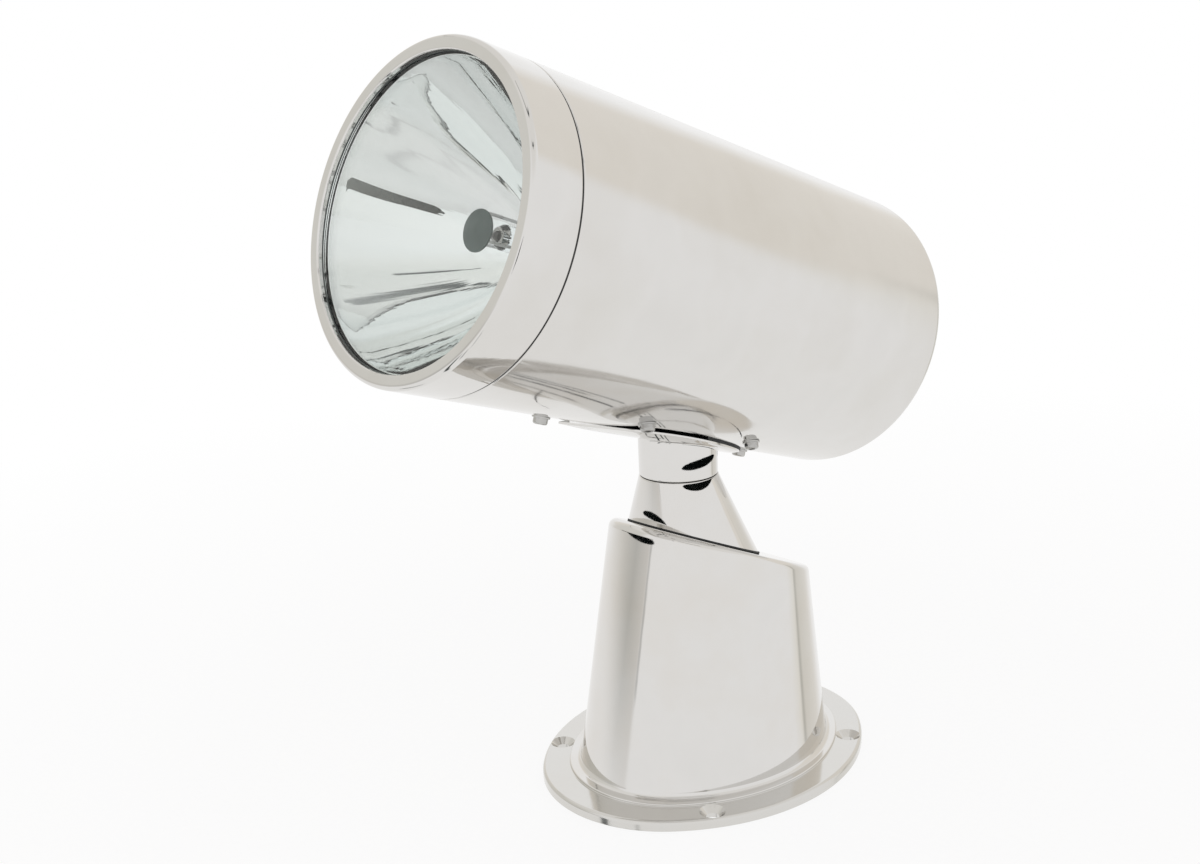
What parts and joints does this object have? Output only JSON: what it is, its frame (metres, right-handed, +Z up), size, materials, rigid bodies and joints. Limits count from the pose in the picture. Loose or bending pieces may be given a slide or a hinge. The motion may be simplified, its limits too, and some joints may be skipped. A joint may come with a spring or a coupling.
{
  "type": "marine searchlight",
  "caption": "Remote-controlled deck searchlight: a round steel head with a mirror reflector, turning on a collar and an oblique cone over an oval pedestal.",
  "frame": {"origin": "centre of the deck bolt circle on the mounting face, under the flange", "axes": "+Z up from the mounting face; the head's front faces -Y at rest; +X completes the right hand, to the left of someone facing the lens"},
  "size_m": [0.147, 0.3008, 0.3536],
  "materials": {
    "polished_steel": "mirror polished stainless steel",
    "black_rubber": "matt moulded rubber",
    "clear_glass": "clear toughened glass",
    "lamp_quartz": "clear quartz",
    "reflector_mirror": "vacuum-coated mirror",
    "shield_paint": "dark heat-resistant paint",
    "holder_ceramic": "glazed ceramic",
    "plain_steel": "brushed stainless steel",
    "bearing_bronze": "turned bronze",
    "gear_steel": "hobbed steel",
    "motor_case": "nickel-plated steel can",
    "cast_aluminium": "blasted cast aluminium",
    "white_nylon": "moulded nylon",
    "board_laminate": "green circuit board with parts"
  },
  "bodies": {
    "pedestal": {"base_casting": "polished_steel", "deck_seal": "black_rubber", "bottom_plate": "plain_steel", "plate_screws": "plain_steel", "cable_grommet": "black_rubber", "board_spacers": "white_nylon", "control_board": "board_laminate", "face_bush": "bearing_bronze", "tilt_bracket": "plain_steel", "tilt_motor": "motor_case", "tilt_screws": "plain_steel"},
    "cone": {"turning_cone": "polished_steel", "face_seal": "black_rubber", "tilt_gear": "gear_steel", "spindle_nut": "plain_steel", "neck_seal": "black_rubber", "pan_gear": "gear_steel", "stem_nut": "plain_steel"},
    "head": {"neck_collar": "polished_steel", "collar_bush": "bearing_bronze", "saddle_gasket": "black_rubber", "head_tube": "polished_steel", "bezel_ring": "polished_steel", "joint_ring": "black_rubber", "lens_gasket": "black_rubber", "lens_glass": "clear_glass", "reflector": "reflector_mirror", "lamp_holder": "holder_ceramic", "lamp_bulb": "lamp_quartz", "glare_shield": "shield_paint", "lamp_post": "plain_steel", "post_screws": "plain_steel", "chassis": "cast_aluminium", "collar_nut": "plain_steel", "chassis_screws": "polished_steel", "pan_bracket": "plain_steel", "pan_motor": "motor_case", "pan_screws": "plain_steel", "ballast": "cast_aluminium"},
    "tilt_pinion": {"tilt_pinion": "gear_steel"},
    "pan_pinion": {"pan_pinion": "gear_steel"}
  },
  "joints": [
    {"name": "tilt_turn", "type": "hinge", "parent": "pedestal", "child": "cone", "pos_m": [0, -0.0049, 0.11508], "axis": [0, 0.3907, 0.9205], "range_deg": [-170, 170]},
    {"name": "pan_turn", "type": "hinge", "parent": "cone", "child": "head", "pos_m": [0, -0.014, 0.15], "axis": [0, 0, 1], "range_deg": [-175, 175]},
    {"name": "tilt_pinion_spin", "type": "hinge", "parent": "pedestal", "child": "tilt_pinion", "pos_m": [0, 0.02709, 0.09064], "axis": [0, 0.3907, 0.9205], "range_deg": [-570, 570]},
    {"name": "pan_pinion_spin", "type": "hinge", "parent": "head", "child": "pan_pinion", "pos_m": [0, 0.019, 0.188], "axis": [0, 0, 1], "range_deg": [-470, 470]}
  ],
  "couplings": [
    {"joint": "tilt_pinion_spin", "follows": "tilt_turn", "ratio": -3.3333},
    {"joint": "pan_pinion_spin", "follows": "pan_turn", "ratio": 2.6667}
  ]
}
